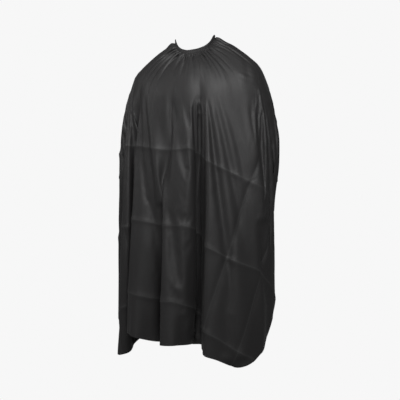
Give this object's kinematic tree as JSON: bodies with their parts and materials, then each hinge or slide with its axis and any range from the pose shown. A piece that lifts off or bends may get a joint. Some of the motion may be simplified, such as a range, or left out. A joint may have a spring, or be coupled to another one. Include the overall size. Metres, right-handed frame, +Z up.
{
  "type": "barber cape",
  "caption": "Black lightweight barber cape: a wide panel gathered into an elastic neck band, closed at the back by a press-stud tab, hanging in long folds to a rounded hem.",
  "frame": {"origin": "centre of the neck opening, level with the tops of its sides", "axes": "+Z up along the wearer's neck, -Y towards the wearer's front, +X towards the wearer's left"},
  "size_m": [0.5891, 0.3772, 1.1994],
  "materials": {
    "cloth": "satin black nylon with a fine cross rib",
    "band": "gathered black nylon casing",
    "tab": "black nylon folded over an interlining",
    "elastic": "braided white elastic",
    "interlining": "stiff woven interlining",
    "stud_metal": "nickel-plated pressed steel",
    "cap_metal": "black enamelled pressed metal"
  },
  "bodies": {
    "cape": {"cape_body": "cloth", "neck_band": "band", "neck_elastic": "elastic", "stud_tab": "tab", "stud_tab_interlining": "interlining", "stud_1": "stud_metal", "stud_2": "stud_metal", "stud_3": "stud_metal", "stud_4": "stud_metal", "stud_back_1": "stud_metal", "stud_back_2": "stud_metal", "stud_back_3": "stud_metal", "stud_back_4": "stud_metal"},
    "closure_tab": {"socket_tab": "tab", "socket_tab_interlining": "interlining", "socket_1": "stud_metal", "socket_2": "stud_metal", "cap_1": "cap_metal", "cap_2": "cap_metal"}
  },
  "joints": [
    {"name": "closure_tab_fold", "type": "hinge", "parent": "cape", "child": "closure_tab", "pos_m": [-0.036, 0.0654, -0.0545], "axis": [0, 0, 1], "range_deg": [0, 110]}
  ]
}
